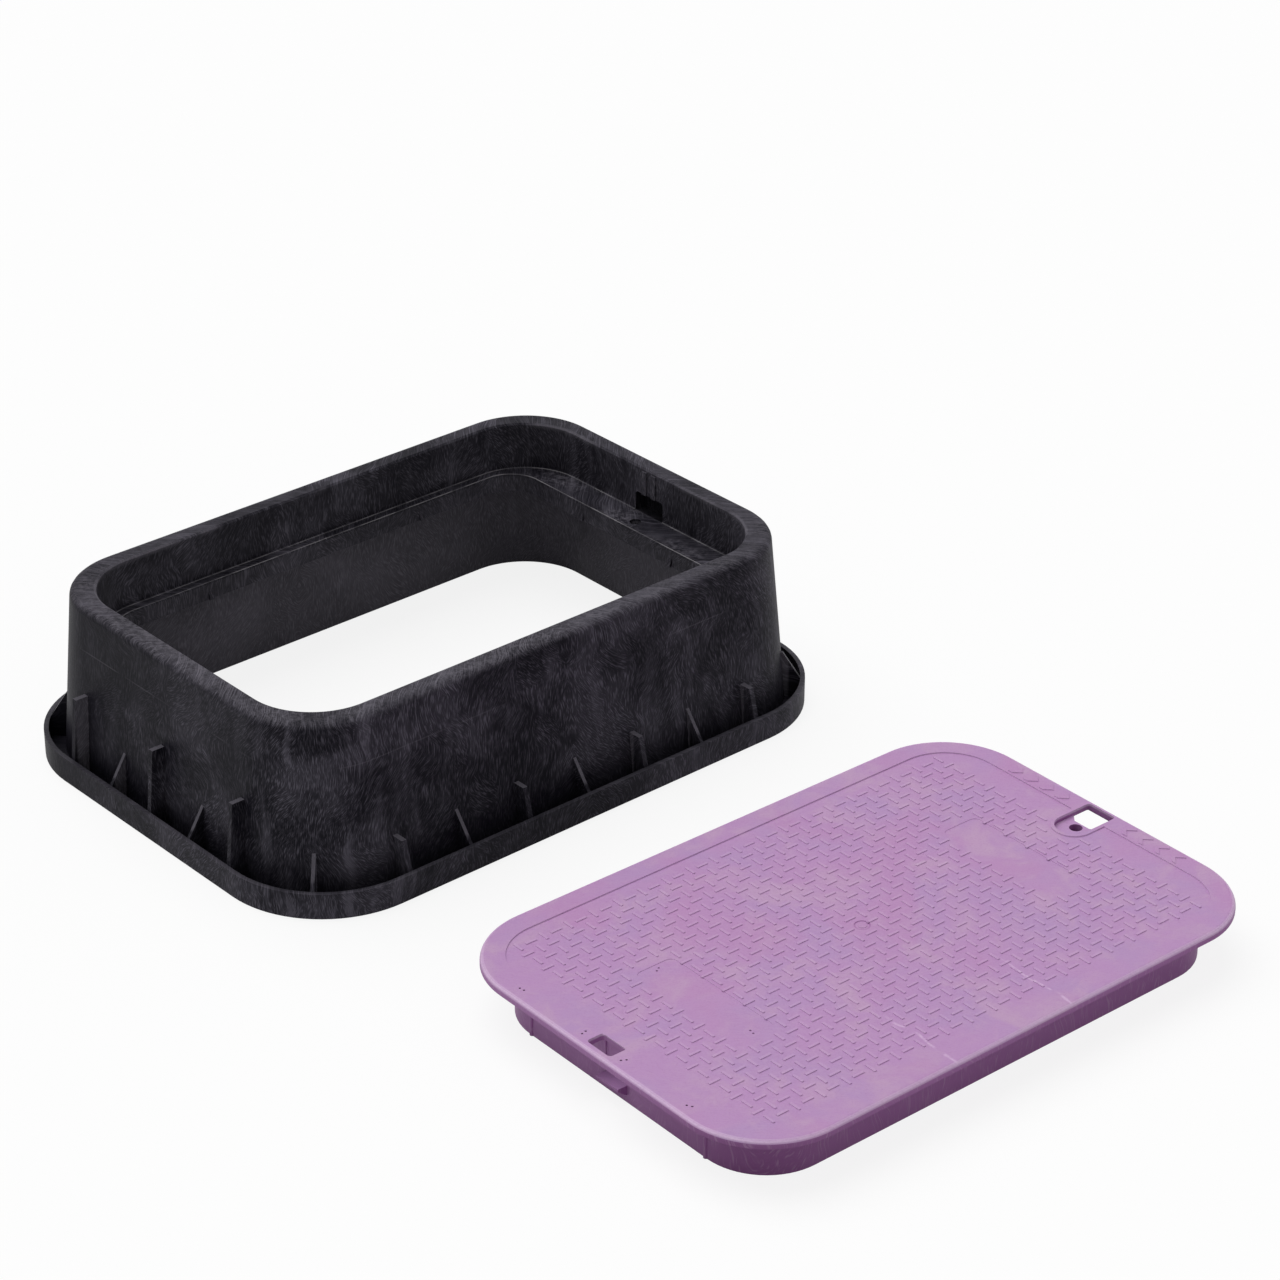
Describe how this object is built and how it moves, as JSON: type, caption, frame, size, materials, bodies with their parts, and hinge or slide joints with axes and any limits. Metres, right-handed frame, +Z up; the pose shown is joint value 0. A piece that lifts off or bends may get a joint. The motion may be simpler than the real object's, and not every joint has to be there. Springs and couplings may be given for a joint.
{
  "type": "valve box with cover",
  "caption": "Rectangular plastic in-ground valve box with leaning ribbed walls and a footed lip, and its lift-off treaded cover with hook tongue and bolt recess laid beside it.",
  "frame": {"origin": "middle of the two pieces' common bounding box, on the ground", "axes": "+X along the body's length towards the end where the cover's bolt recess lies, +Y across the body from the cover to the body, +Z up"},
  "size_m": [0.57, 0.897, 0.1524],
  "materials": {
    "body_plastic": "moulded black structural-foam plastic with grey swirls, scuffed grey on the rim and ledge",
    "cover_plastic": "moulded purple structural-foam plastic with pale swirls"
  },
  "bodies": {
    "root": {"box_body": "body_plastic", "cover": "cover_plastic"}
  },
  "joints": []
}
